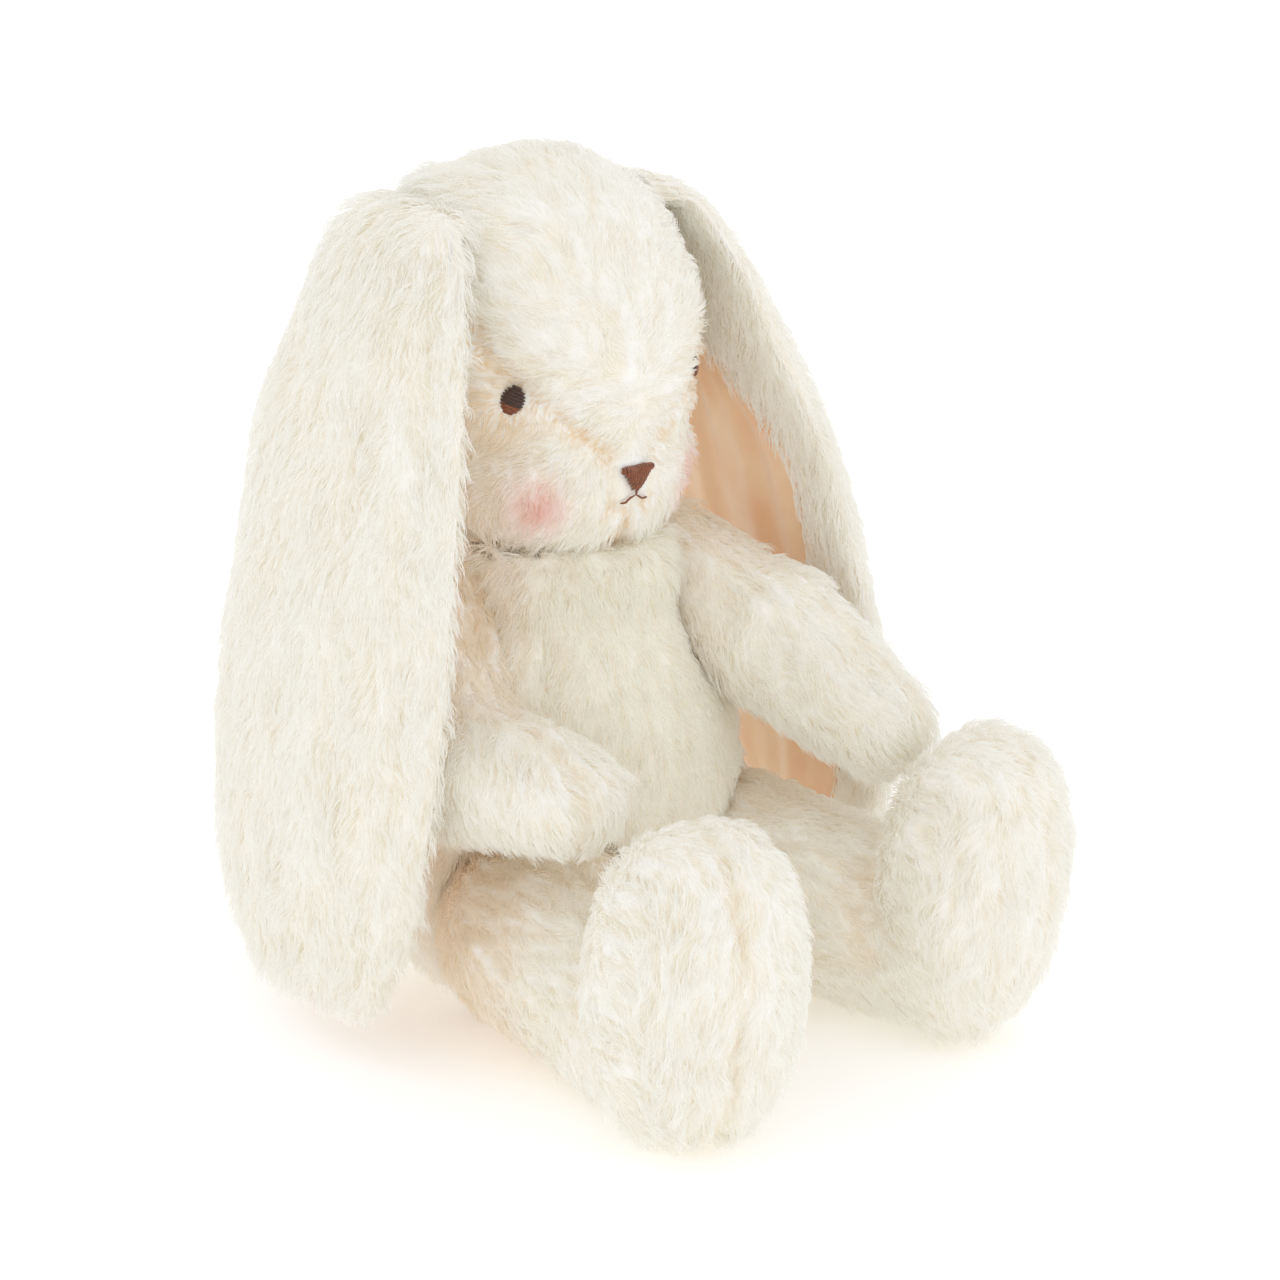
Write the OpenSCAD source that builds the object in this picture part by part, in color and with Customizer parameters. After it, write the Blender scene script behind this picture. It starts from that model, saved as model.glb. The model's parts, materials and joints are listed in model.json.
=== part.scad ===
// Sitting lop-eared plush bunny, sewn from pile-fabric panels over soft stuffing.
// +Z is up, the face looks along -Y and the bunny's left side is +X.
// The origin is on the ground, in the middle of the footprint.

/* [Body] */
// widest radius of the body
body_r = 59; // [56:0.5:61]
// height of the widest part of the body
belly_z = 46; // [42:1:50]
// height of the neck seam
neck_z = 141.8; // [140:0.2:141.8]
// radius of the neck opening
neck_r = 27; // [24:0.5:30]
// radius of the flat seat
seat_r = 40; // [36:1:44]
// thickness of the pile fabric
fabric_t = 2.4; // [1.8:0.1:3]
// half angle of the belly panel, seen from above
belly_half_angle = 56; // [45:1:65]
// radius of the tail
tail_r = 17; // [13:0.5:19]

/* [Head] */
// half width and half depth of the skull
skull_r = 51; // [48:0.5:53]
// half height of the skull
skull_h = 58; // [55:0.5:60]
// height of the middle of the skull
skull_z = 204; // [202:0.5:206]
// half width of the cheeks
cheek_w = 41; // [38:0.5:44]
// radius of the muzzle, seen from the side
muzzle_r = 33; // [31:0.5:34]
// height of the eye, a satin-stitched oval
eye_h = 8.6; // [6:0.1:10]
// width of the nose triangle
nose_w = 12.5; // [9:0.5:15]
// how far the face can be lifted
head_travel = 20; // [5:1:20]

/* [Ears] */
// half width of the ear where it is widest
ear_w = 49; // [42:0.5:50]
// half width of the ear where it is sewn on
ear_root_w = 18; // [14:0.5:22]
// thickness of the furry outer layer of the ear
ear_t = 9.5; // [6:0.5:10]
// thickness of the satin lining
lining_t = 2.6; // [1.5:0.1:3]
// height of the ear tip above the ground
ear_tip_z = 9; // [6:1:20]

/* [Arms] */
// radius of the arm at the shoulder
shoulder_r = 20.5; // [18:0.5:21]
// radius of the arm at the elbow
elbow_r = 23.5; // [20:0.5:24]
// radius of the paw
paw_r = 17.5; // [14:0.5:19]
// how far an arm can be lifted
arm_travel = 30; // [5:1:30]

/* [Legs] */
// radius of the thigh at the hip
hip_r = 32; // [28:0.5:32.5]
// radius of the ankle
ankle_r = 28; // [24:0.5:29]
// distance from the hip to the ankle
leg_l = 70; // [60:1:74]
// radius of each of the two lobes of the foot
foot_r = 27.5; // [23:0.5:28]
// half height of the foot
foot_h = 49.3; // [40:0.5:50]
// how far a leg can hang down
leg_travel = 70; // [10:5:80]

/* [Hidden] */
$fn = 72;
gap = 0.5;
seam = 0.12;
thread = 1.1;
base_y = 38.057;
shoulder = [36, -2, 122];
hip = [38, -38, 33.4];
neck = [0, 6, 150];
muzzle = [0, -5, 169];
skull = [0, 10, skull_z];
ear_mid = [[38.5, 246.7], [60, 251], [92, 120], [97.5, ear_tip_z]];
ear_rows = 16;
ear_cols = 18;
upper_l = 48;
fore_l = 43;
// [pitch, yaw] of the upper arm and forearm: the left arm reaches out, the right one rests
left_arm = [[13, 14], [26, 12]];
right_arm = [[43, 41], [-3.5, -7]];
left_leg_yaw = 14;
right_leg_yaw = 9.4;
leg_pitch = 3.3;
toe_out = 6;

cream = [0.93, 0.91, 0.86];
ivory = [0.91, 0.88, 0.81];
peach = [0.88, 0.69, 0.54];
brown = [0.36, 0.19, 0.10];
fibre = [0.97, 0.97, 0.97];
cotton = [0.88, 0.84, 0.76];

// ---- outlines ----

// radius of the body at height z: a round bottom and a pear-shaped shoulder
function body_at(z) = z < belly_z
  ? seat_r + (body_r - seat_r) * sqrt(1 - pow((belly_z - z) / belly_z, 2))
  : neck_r + (body_r - neck_r) * pow(cos(89.9 * (z - belly_z) / (neck_z - belly_z)), 0.8);

// outline of the body pulled in by d
function body_points(d) = let (z0 = max(d, 0), z1 = neck_z - d, n = 12) concat(
  [[0, z0]],
  [for (i = [0:n]) let (z = z0 + (z1 - z0) * (1 - cos(180 * i / n)) / 2) [body_at(min(z, neck_z)) - d, z]],
  [[0, z1]]);

// half outline of an ellipse
function oval_points(rx, rz) = [for (a = [-90:12:90]) [rx * cos(a), rz * sin(a)]];

// outline of one lobe of the foot, squarer than an ellipse
function lobe_points(d) = [for (a = [-90:15:90]) let (c = pow(abs(cos(a)), 0.86), s = pow(abs(sin(a)), 0.86))
  [(foot_r + d) * c, (foot_h + d) * s * sign(a)]];

// ---- shared shapes ----

// everything is drawn around the axis of the body, then set on the footprint
module place() {
  translate([0, base_y, 0])
    children();
}

module mirrored(s) {
  if (s > 0)
    children();
  else
    mirror([1, 0, 0])
      children();
}

// turns a piece about the left-right line through p, lifting its front by a degrees
module lift(p, a) {
  translate(p)
    rotate([-a, 0, 0])
      translate(-p)
        children();
}

module along(pitch_yaw) {
  rotate([0, 0, pitch_yaw[1]])
    rotate([90 + pitch_yaw[0], 0, 0])
      children();
}

module body_profile(d) {
  rotate_extrude()
    polygon(body_points(d));
}

// the head: a tall skull with a wide muzzle across its front, grown by d
module head_solid(d) {
  translate(skull)
    rotate_extrude()
      polygon(oval_points(skull_r + d, skull_h + d));
  translate(muzzle)
    rotate([0, 90, 0])
      rotate_extrude()
        polygon(oval_points(muzzle_r + d, cheek_w + d));
}

// a stuffed limb that narrows along an axis, r0 at its start and r1 at its end
module sleeve(l, r0, r1) {
  translate([0, 0, 0.5])
    cylinder(l - 0.5, r0 - 0.05, r1 - 0.05);
}

// a round end or joint of a limb
module knob(p, r) {
  translate(p)
    rotate([0, 90, 0])
      sphere(r);
}

// an arm of the left side: shoulder, upper arm, elbow and forearm with its paw, grown by d
module arm_solid(pose, d) {
  elbow = elbow_at(pose);
  knob(shoulder, shoulder_r + d);
  translate(shoulder)
    along(pose[0])
      sleeve(upper_l, shoulder_r + d, elbow_r + d);
  knob(elbow, elbow_r + d);
  translate(elbow)
    along(pose[1])
      sleeve(fore_l, elbow_r + d, paw_r + d);
  knob(elbow + reach(pose[1], fore_l), paw_r + d);
}

function reach(pitch_yaw, l) = l * [
  cos(pitch_yaw[0]) * sin(pitch_yaw[1]), -cos(pitch_yaw[0]) * cos(pitch_yaw[1]), -sin(pitch_yaw[0])];
function elbow_at(pose) = shoulder + reach(pose[0], upper_l);

// the thigh and shin of the left side, grown by d
module shin_solid(yaw, d) {
  knob(hip, hip_r + d);
  translate(hip)
    along([leg_pitch, yaw])
      sleeve(leg_l, hip_r + d, ankle_r + d);
  knob(hip + reach([leg_pitch, yaw], leg_l), ankle_r + d);
}

// the foot stands up at the end of the leg: two lobes side by side, with the sole seam between them
module foot_solid(yaw, d) {
  heel = hip + reach([leg_pitch, yaw], leg_l);
  ahead = reach([0, yaw], 18);
  translate([heel[0] + ahead[0], heel[1] + ahead[1], foot_h + 0.9])
    rotate([0, 0, yaw + toe_out])
      rotate([6, 0, 0])
        for (x = [-5, 5])
          translate([x, 0, 0])
            rotate_extrude()
              polygon(lobe_points(d));
}

module leg_solid(yaw, d) {
  shin_solid(yaw, d);
  foot_solid(yaw, d);
}

// one side of the upright plane along a leg, where its two panels meet
module leg_half(yaw, side) {
  translate(hip)
    rotate([0, 0, yaw])
      translate([side > 0 ? seam : -120 - seam, -160, -60])
        cube([120, 220, 160]);
}

// one side of the upright plane along an arm, from its shoulder to its paw
module arm_half(pose, side) {
  shift = pose == left_arm ? 1 : 9;
  translate([shoulder[0] + shift, shoulder[1], shoulder[2]])
    rotate([0, 0, pose == left_arm ? 13 : 10])
      translate([side > 0 ? seam : -120 - seam, -160, -120])
        cube([120, 220, 240]);
}

// the room an arm needs in the body over its whole travel, grown by d
module arm_room(pose, d) {
  translate(shoulder)
    sphere(shoulder_r + d);
  for (i = [0:2])
    lift(shoulder, arm_travel * i / 2)
      translate(shoulder)
        along(pose[0])
          translate([0, 0, 1])
            cylinder(upper_l, shoulder_r + d - 0.1, elbow_r + d + (pose == right_arm ? 0.8 : 0));
  if (pose == right_arm) {
    for (i = [0:1])
      lift(shoulder, arm_travel * i / 2)
        translate(elbow_at(pose))
          sphere(elbow_r + d + 0.8);
    translate(elbow_at(pose))
      along(pose[1])
        cylinder(fore_l, elbow_r + d + 0.5, elbow_r + d - 5);
  }
}

// the room a leg needs in the body while it swings down, grown by d
module leg_room(yaw, d) {
  side = hip_r + d;
  translate(hip)
    sphere(hip_r + d);
  for (a = [0, -leg_travel])
    lift(hip, a)
      translate(hip)
        along([leg_pitch, yaw])
          translate([0, 0, 1])
            cylinder(leg_l, hip_r + d - 0.1, ankle_r + d);
  translate([hip[0] - side - 0.2, hip[1] - 80, -20 - d])
    cube([2 * side + 12, 80, hip[2] + 20 + d]);
}

// the dish in the neck that the head rests in
module head_room(d) {
  translate([0, -3, 181])
    sphere(46 + d);
}

// the openings in the body where the head, arms and legs are sewn in
module sockets() {
  head_room(gap);
  arm_room(left_arm, gap);
  leg_room(left_leg_yaw, gap);
  mirror([1, 0, 0]) {
    arm_room(right_arm, gap);
    leg_room(right_leg_yaw, gap);
  }
}

module body_shell() {
  difference() {
    body_profile(0);
    body_profile(fabric_t);
  }
}

// the sector under the belly panel, grown by g at its side seams and held above the seat seam
module belly_sector(g) {
  a = belly_half_angle;
  translate([0, 0, fabric_t + 1.6])
    linear_extrude(neck_z)
      polygon([[0, 10], [g + 90 * sin(a), g - 90 * cos(a)], [70, -90], [-70, -90], [-g - 90 * sin(a), g - 90 * cos(a)]]);
}

// ---- body ----

module belly_panel() {
  color(ivory)
    place()
      difference() {
        intersection() {
          body_shell();
          belly_sector(0);
        }
        sockets();
      }
}

module back_panel(s) {
  color(cream)
    place()
      difference() {
        intersection() {
          body_shell();
          translate([s > 0 ? seam : -80 - seam, -80, fabric_t + 1.6])
            cube([80, 160, neck_z]);
        }
        belly_sector(0.3);
        sockets();
      }
}

module back_panel_left() {
  back_panel(1);
}

module back_panel_right() {
  back_panel(-1);
}

module seat_panel() {
  color(cream)
    place()
      difference() {
        intersection() {
          body_shell();
          translate([-80, -80, 0])
            cube([160, 160, fabric_t + 1.4]);
        }
        sockets();
      }
}

module body_stuffing() {
  color(fibre)
    place()
      difference() {
        body_profile(fabric_t + 0.3);
        sockets();
      }
}

tail_at = [0, body_at(26) + 4, 26];

module tail_cover() {
  color(cream)
    place()
      difference() {
        difference() {
          translate(tail_at)
            rotate([90, 0, 0])
              sphere(tail_r);
          body_profile(-0.2);
        }
        translate(tail_at)
          rotate([90, 0, 0])
            sphere(tail_r - fabric_t);
      }
}

module tail_stuffing() {
  color(fibre)
    place()
      difference() {
        translate(tail_at)
          sphere(tail_r - fabric_t - 0.3);
        body_profile(-fabric_t - 0.5);
      }
}

// the closing thread around the neck
module neck_stitch() {
  z = neck_z - 4;
  color(cotton)
    place()
      difference() {
        translate([0, 0, z])
          rotate_extrude()
            translate([body_at(z) + thread + 0.1, 0])
              circle(thread, $fn = 24);
        arm_room(left_arm, gap + 0.3);
        mirror([1, 0, 0])
          arm_room(right_arm, gap + 0.3);
      }
}

// ---- head ----

// the forehead gusset runs from the nose, over the eyes and ears, and down to the nape
module gusset_prism(g) {
  front = [[7, 160], [7, 176], [24, 190], [39, 204], [47, 230], [47, 290]];
  back = [[13, 130], [24, 190], [41, 235], [47, 290]];
  for (half = [front, back])
    translate([0, half == front ? 10 : 90, 0])
      rotate([90, 0, 0])
        linear_extrude(80)
          polygon(concat([for (p = half) [p[0] + g, p[1] - g]],
            [for (i = [len(half) - 1:-1:0]) [-half[i][0] - g, half[i][1] - g]]));
}

module head_shell() {
  difference() {
    head_solid(0);
    head_solid(-fabric_t);
  }
}

module forehead_gusset() {
  color(cream)
    place()
      intersection() {
        head_shell();
        gusset_prism(0);
      }
}

module cheek_panel(s) {
  color(cream)
    place()
      difference() {
        intersection() {
          head_shell();
          translate([s > 0 ? seam : -80 - seam, -80, 100])
            cube([80, 160, 200]);
        }
        gusset_prism(0.25);
      }
}

module cheek_panel_left() {
  cheek_panel(1);
}

module cheek_panel_right() {
  cheek_panel(-1);
}

module head_stuffing() {
  color(fibre)
    place()
      head_solid(-fabric_t - 0.3);
}

// a patch of raised stitching that follows the head's surface
module stitched_patch(height) {
  intersection() {
    difference() {
      head_solid(height);
      head_solid(0.05);
    }
    children();
  }
}

module nose() {
  w = nose_w / 2;
  color(brown)
    place()
      stitched_patch(1.6)
        translate([0, -20, 168.5])
          rotate([90, 0, 0])
            linear_extrude(40)
              polygon([[-w, 3.6], [-w + 1.6, 4.8], [0, 4.2], [w - 1.6, 4.8], [w, 3.6], [w - 2, 0.6], [1.2, -5], [-1.2, -5],
                [2 - w, 0.6]]);
}

// a short upright thread below the nose and two slanted ones
module mouth_stitch() {
  color(brown)
    place()
      stitched_patch(0.9)
        translate([0, -10, 163])
          rotate([90, 0, 0])
            linear_extrude(40) {
              translate([-0.5, -5.4])
                square([1, 5.6]);
              for (a = [-58, 58])
                translate([0, -5])
                  rotate(a)
                    translate([-0.5, -7])
                      square([1, 7]);
            }
}

module eye(s) {
  color(brown)
    place()
      mirrored(s)
        stitched_patch(1.4)
          translate([36, -24, 196])
            rotate([90, 0, 46])
              linear_extrude(20, center = true)
                polygon([for (a = [0:15:345]) [eye_h * 0.4 * cos(a), eye_h * 0.5 * sin(a)]]);
}

module eye_left() {
  eye(1);
}

module eye_right() {
  eye(-1);
}

// ---- ears ----

function ear_t_at(i) = sin(90 * i / ear_rows);
function bezier(p, t) = pow(1 - t, 3) * p[0] + 3 * t * pow(1 - t, 2) * p[1] + 3 * t * t * (1 - t) * p[2] + pow(t, 3) * p[3];
function slope(p, t) = 3 * pow(1 - t, 2) * (p[1] - p[0]) + 6 * t * (1 - t) * (p[2] - p[1]) + 3 * t * t * (p[3] - p[2]);
// falls from 1 to 0 over the round tip
function ear_round(t, t0, n) = t < t0 ? 1 : sqrt(max(0.004, 1 - pow((t - t0) / (1 - t0), n)));
function ear_w_at(t) = (ear_root_w + (ear_w - ear_root_w) * pow(sin(90 * min(1, t / 0.75)), 1.2)) * ear_round(t, 0.75, 2.8);
function ear_y_at(t) = 13 - 19 * pow(t, 0.8);
function ear_out(t) = let (d = slope(ear_mid, t), n = norm(d)) [-d[1] / n, 0, d[0] / n];
function ear_point(t, w, h) = let (m = bezier(ear_mid, t)) [m[0], ear_y_at(t) - w, m[1]] + h * ear_out(t);

// a tapering sheet along the ear: flat on its inner side and domed by t1 on the other, dir -1 or 1
module ear_sheet(trim, t1, dir) {
  k = ear_cols + 1;
  points = [for (i = [0:ear_rows]) let (
      t = ear_t_at(i),
      w = max(1.2, ear_w_at(t) - trim),
      h = t1 * min(1, 0.25 + 3 * t) * ear_round(t, 0.75, 2.8))
    for (j = [0:ear_cols]) let (a = 180 * j / ear_cols)
      ear_point(t, w * cos(a), dir * (0.15 + h * pow(sin(a), 0.7)))];
  sides = [for (i = [0:ear_rows - 1], j = [0:ear_cols]) let (
      a = i * k + j,
      b = i * k + (j + 1) % k)
    each [[a, b, b + k], [a, b + k, a + k]]];
  caps = [[for (j = [ear_cols:-1:0]) j], [for (j = [0:ear_cols]) ear_rows * k + j]];
  faces = concat(sides, caps);
  polyhedron(points, dir > 0 ? faces : [for (f = faces) [for (j = [len(f) - 1:-1:0]) f[j]]]);
}

module ear_outer(s) {
  color(cream)
    place()
      mirrored(s)
        ear_sheet(0, ear_t, 1);
}

module ear_lining(s) {
  color(peach)
    place()
      mirrored(s)
        ear_sheet(4, lining_t, -1);
}

// a row of slanted stitches on the head, just inside the root of the ear
module ear_root_stitch(s) {
  color(cotton)
    place()
      mirrored(s)
        stitched_patch(1.2)
          for (i = [-3:3])
            translate([ear_mid[0][0] - 7, ear_y_at(0) + i * 5, ear_mid[0][1]])
              rotate([0, 0, 25])
                cube([5, 1.3, 20], center = true);
}

module ear_outer_left() {
  ear_outer(1);
}

module ear_lining_left() {
  ear_lining(1);
}

module ear_root_stitch_left() {
  ear_root_stitch(1);
}

module ear_outer_right() {
  ear_outer(-1);
}

module ear_lining_right() {
  ear_lining(-1);
}

module ear_root_stitch_right() {
  ear_root_stitch(-1);
}

// ---- arms ----

module arm_panel(s, side) {
  pose = s > 0 ? left_arm : right_arm;
  color(cream)
    place()
      mirrored(s)
        intersection() {
          difference() {
            arm_solid(pose, 0);
            arm_solid(pose, -fabric_t);
          }
          arm_half(pose, side);
        }
}

module arm_stuffing(s) {
  color(fibre)
    place()
      mirrored(s)
        arm_solid(s > 0 ? left_arm : right_arm, -fabric_t - 0.3);
}

module arm_outer_left() {
  arm_panel(1, 1);
}

module arm_inner_left() {
  arm_panel(1, -1);
}

module arm_stuffing_left() {
  arm_stuffing(1);
}

module arm_outer_right() {
  arm_panel(-1, 1);
}

module arm_inner_right() {
  arm_panel(-1, -1);
}

module arm_stuffing_right() {
  arm_stuffing(-1);
}

// ---- legs ----

module leg_panel(s, side) {
  yaw = s > 0 ? left_leg_yaw : right_leg_yaw;
  color(cream)
    place()
      mirrored(s)
        intersection() {
          difference() {
            leg_solid(yaw, 0);
            leg_solid(yaw, -fabric_t);
          }
          leg_half(yaw, side);
        }
}

module leg_stuffing(s) {
  color(fibre)
    place()
      mirrored(s)
        leg_solid(s > 0 ? left_leg_yaw : right_leg_yaw, -fabric_t - 0.3);
}

module leg_outer_left() {
  leg_panel(1, 1);
}

module leg_inner_left() {
  leg_panel(1, -1);
}

module leg_stuffing_left() {
  leg_stuffing(1);
}

module leg_outer_right() {
  leg_panel(-1, 1);
}

module leg_inner_right() {
  leg_panel(-1, -1);
}

module leg_stuffing_right() {
  leg_stuffing(-1);
}

belly_panel();
back_panel_left();
back_panel_right();
seat_panel();
body_stuffing();
tail_cover();
tail_stuffing();
neck_stitch();
forehead_gusset();
cheek_panel_left();
cheek_panel_right();
head_stuffing();
nose();
mouth_stitch();
eye_left();
eye_right();
ear_outer_left();
ear_lining_left();
ear_root_stitch_left();
ear_outer_right();
ear_lining_right();
ear_root_stitch_right();
arm_outer_left();
arm_inner_left();
arm_stuffing_left();
arm_outer_right();
arm_inner_right();
arm_stuffing_right();
leg_outer_left();
leg_inner_left();
leg_stuffing_left();
leg_outer_right();
leg_inner_right();
leg_stuffing_right();
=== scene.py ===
import bpy
import json
import math
import numpy as np
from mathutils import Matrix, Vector, kdtree
from mathutils.bvhtree import BVHTree


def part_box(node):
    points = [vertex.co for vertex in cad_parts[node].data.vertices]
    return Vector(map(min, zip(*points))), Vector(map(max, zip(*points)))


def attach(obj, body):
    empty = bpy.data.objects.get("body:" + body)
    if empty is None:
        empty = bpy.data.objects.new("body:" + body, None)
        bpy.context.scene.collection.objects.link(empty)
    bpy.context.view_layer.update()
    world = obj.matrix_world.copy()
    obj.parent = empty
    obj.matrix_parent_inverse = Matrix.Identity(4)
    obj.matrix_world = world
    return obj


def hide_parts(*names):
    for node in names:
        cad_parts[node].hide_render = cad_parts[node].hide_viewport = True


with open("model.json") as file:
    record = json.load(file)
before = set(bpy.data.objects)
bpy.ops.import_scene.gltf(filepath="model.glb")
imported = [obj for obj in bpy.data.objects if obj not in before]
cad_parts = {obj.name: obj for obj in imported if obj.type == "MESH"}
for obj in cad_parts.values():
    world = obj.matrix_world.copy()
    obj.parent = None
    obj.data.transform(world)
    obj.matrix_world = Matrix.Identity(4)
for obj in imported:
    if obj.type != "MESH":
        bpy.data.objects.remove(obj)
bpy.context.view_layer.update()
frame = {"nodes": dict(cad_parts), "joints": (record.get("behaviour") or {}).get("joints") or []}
scene = bpy.context.scene
joint = {j["name"]: np.array(j["pos_m"], float) for j in frame["joints"]}
mm = 0.001

FULL_PILE = 9 * mm        # length of the long pile on the body and arms
LOCK_RELIEF = 0.9 * mm    # how far the locks of pile stand out of a skin
FLOOR_GAP = 0.25 * mm     # the skins stay this far above the floor
SKIN_VOXEL = 3.2 * mm     # grid on which a stuffed skin is remeshed
CLOTH_FRAMES = 20
NECK_STITCHES, EYE_STITCHES, NOSE_STITCHES = 44, 9, 15


# ---------------------------------------------------------------- camera, floor and light

# the camera looks from the side and height that the photograph was taken from, matched to it
PHOTO_AZIMUTH, PHOTO_ELEVATION, CAMERA_DISTANCE = -40, 19, 1.0
LOOK_AT = (0.019, 0.022057, 0.108)
SENSOR_WIDTH, FOCAL_LENGTH = 36, 90
MIDDLE = (0, 0, 0.1)


def look_from(target, azimuth, elevation, distance):
    """Place and rotation of a thing that looks at target, from angles in degrees and a distance in metres."""
    a, e = math.radians(azimuth), math.radians(elevation)
    back = Vector((math.sin(a) * math.cos(e), -math.cos(a) * math.cos(e), math.sin(e)))
    return Vector(target) + back * distance, (-back).to_track_quat("-Z", "Y")


cam = bpy.data.objects.new("camera", bpy.data.cameras.new("camera"))
scene.collection.objects.link(cam)
cam.rotation_mode = "QUATERNION"
cam.location, cam.rotation_quaternion = look_from(LOOK_AT, PHOTO_AZIMUTH, PHOTO_ELEVATION, CAMERA_DISTANCE)
cam.data.sensor_width, cam.data.lens = SENSOR_WIDTH, FOCAL_LENGTH
cam.data.clip_start, cam.data.clip_end = 0.01, 50
scene.camera = cam

scene.view_settings.view_transform = "Standard"
scene.view_settings.look = "None"
# light has to pass through many pale hairs before it comes back out
scene.cycles.max_bounces = 24
scene.cycles.diffuse_bounces = 20
world = bpy.data.worlds.new("studio")
scene.world = world
world.use_nodes = True
world.node_tree.nodes["Background"].inputs["Color"].default_value = (1, 1, 1, 1)
world.node_tree.nodes["Background"].inputs["Strength"].default_value = 1.0


def area_light(name, azimuth, elevation, distance, size, power):
    """A round soft light that looks at the middle of the toy."""
    data = bpy.data.lights.new(name, "AREA")
    data.shape, data.size, data.energy = "DISK", size, power
    o = bpy.data.objects.new(name, data)
    scene.collection.objects.link(o)
    o.rotation_mode = "QUATERNION"
    o.location, o.rotation_quaternion = look_from(MIDDLE, azimuth, elevation, distance)


area_light("key", azimuth=-80, elevation=50, distance=1.6, size=1.1, power=0.45)
area_light("front", azimuth=-28, elevation=12, distance=1.7, size=1.2, power=0.8)
area_light("fill", azimuth=40, elevation=35, distance=1.9, size=1.4, power=0.25)


# ---------------------------------------------------------------- small tools

def linear(r, g, b):
    """Linear colour from screen values of 0 to 255."""
    return tuple((c / 255 / 12.92 if c / 255 <= 0.04045 else ((c / 255 + 0.055) / 1.055) ** 2.4)
                 for c in (r, g, b))


def unit(v):
    return v / np.maximum(np.linalg.norm(v, axis=-1, keepdims=True), 1e-9)


def step(x, a, b):
    """Rises smoothly from 0 at a to 1 at b."""
    t = np.clip((x - a) / (b - a), 0, 1)
    return t * t * (3 - 2 * t)


def waves(p, scale, seed, count=7):
    """Smooth noise from -1 to 1 with features of about scale metres."""
    rng = np.random.default_rng(seed)
    k = unit(rng.normal(size=(count, 3))) * (2 * math.pi / scale) * rng.uniform(0.6, 1.3, (count, 1))
    return np.sin(p @ k.T + rng.uniform(0, 6.28, count)).sum(1) / count ** 0.5 / 1.4


def bell(p, centre, radius):
    """1 at the centre, falling off to nothing over a few radii."""
    return np.exp(-(((p - centre) / radius) ** 2).sum(-1))


def make(name, verts, faces):
    me = bpy.data.meshes.new(name)
    me.from_pydata([tuple(map(float, v)) for v in verts], [], faces)
    me.polygons.foreach_set("use_smooth", np.ones(len(me.polygons), bool))
    me.update()
    o = bpy.data.objects.new(name, me)
    scene.collection.objects.link(o)
    return o


def points(o):
    co = np.empty(len(o.data.vertices) * 3, np.float32)
    o.data.vertices.foreach_get("co", co)
    return co.reshape(-1, 3).astype(float)


def normals(o):
    n = np.empty(len(o.data.vertices) * 3, np.float32)
    o.data.vertex_normals.foreach_get("vector", n)
    return n.reshape(-1, 3).astype(float)


def put(o, co):
    o.data.vertices.foreach_set("co", co.astype(np.float32).ravel())
    o.data.update()


def edges_of(o):
    e = np.empty(len(o.data.edges) * 2, np.int32)
    o.data.edges.foreach_get("vertices", e)
    return e.reshape(-1, 2)


def near_mean(val, e, n):
    """Mean of each vertex's neighbours."""
    deg = np.bincount(e.ravel(), minlength=n)[:, None]
    out = np.stack([np.bincount(e[:, 0], val[e[:, 1], k], n) + np.bincount(e[:, 1], val[e[:, 0], k], n)
                    for k in range(val.shape[1])], 1)
    return out / np.maximum(deg, 1)


def smooth(o, rounds):
    """Smooths without shrinking: each round draws the skin in and then out again."""
    co, e = points(o), edges_of(o)
    for i in range(rounds):
        for f in (0.5, -0.51):
            co = co + (near_mean(co, e, len(co)) - co) * f
    put(o, co)


def relax(o, rounds, strength, weight=None):
    """Smooths and draws in, where weight is above 0."""
    co, e = points(o), edges_of(o)
    w = 1.0 if weight is None else weight[:, None]
    for i in range(rounds):
        co = co + (near_mean(co, e, len(co)) - co) * strength * w
    put(o, co)


def baked(o):
    """Applies the object's modifiers."""
    dg = bpy.context.evaluated_depsgraph_get()
    me = bpy.data.meshes.new_from_object(o.evaluated_get(dg))
    old = o.data
    o.modifiers.clear()
    o.data = me
    me.name = o.name
    bpy.data.meshes.remove(old)


def outer_shell(o):
    """Keeps the largest connected part."""
    e, n = edges_of(o), len(o.data.vertices)
    label = np.arange(n)
    while True:
        low = np.minimum(label[e[:, 0]], label[e[:, 1]])
        new = label.copy()
        np.minimum.at(new, e[:, 0], low)
        np.minimum.at(new, e[:, 1], low)
        new = new[new]
        if (new == label).all():
            break
        label = new
    ids, count = np.unique(label, return_counts=True)
    if len(ids) == 1:
        return
    keep = label == ids[count.argmax()]
    index = np.cumsum(keep) - 1
    co = points(o)[keep]
    faces = [[int(index[v]) for v in p.vertices] for p in o.data.polygons if keep[p.vertices[0]]]
    name, old = o.name, o.data
    me = bpy.data.meshes.new(name)
    me.from_pydata(co.tolist(), [], faces)
    me.polygons.foreach_set("use_smooth", np.ones(len(me.polygons), bool))
    me.update()
    o.data = me
    bpy.data.meshes.remove(old)


def tree_of(o):
    """A tree that finds the nearest point of a mesh."""
    return BVHTree.FromPolygons([v.co for v in o.data.vertices], [list(p.vertices) for p in o.data.polygons])


def finder(places):
    """A tree that finds the nearest of some points."""
    tree = kdtree.KDTree(len(places))
    for i, q in enumerate(places):
        tree.insert(q, i)
    tree.balance()
    return tree


def above_floor(o):
    co = points(o)
    co[:, 2] = np.maximum(co[:, 2], FLOOR_GAP)
    put(o, co)


def subdivided(o):
    m = o.modifiers.new("finer", "SUBSURF")
    m.levels = m.render_levels = 1
    baked(o)


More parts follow.
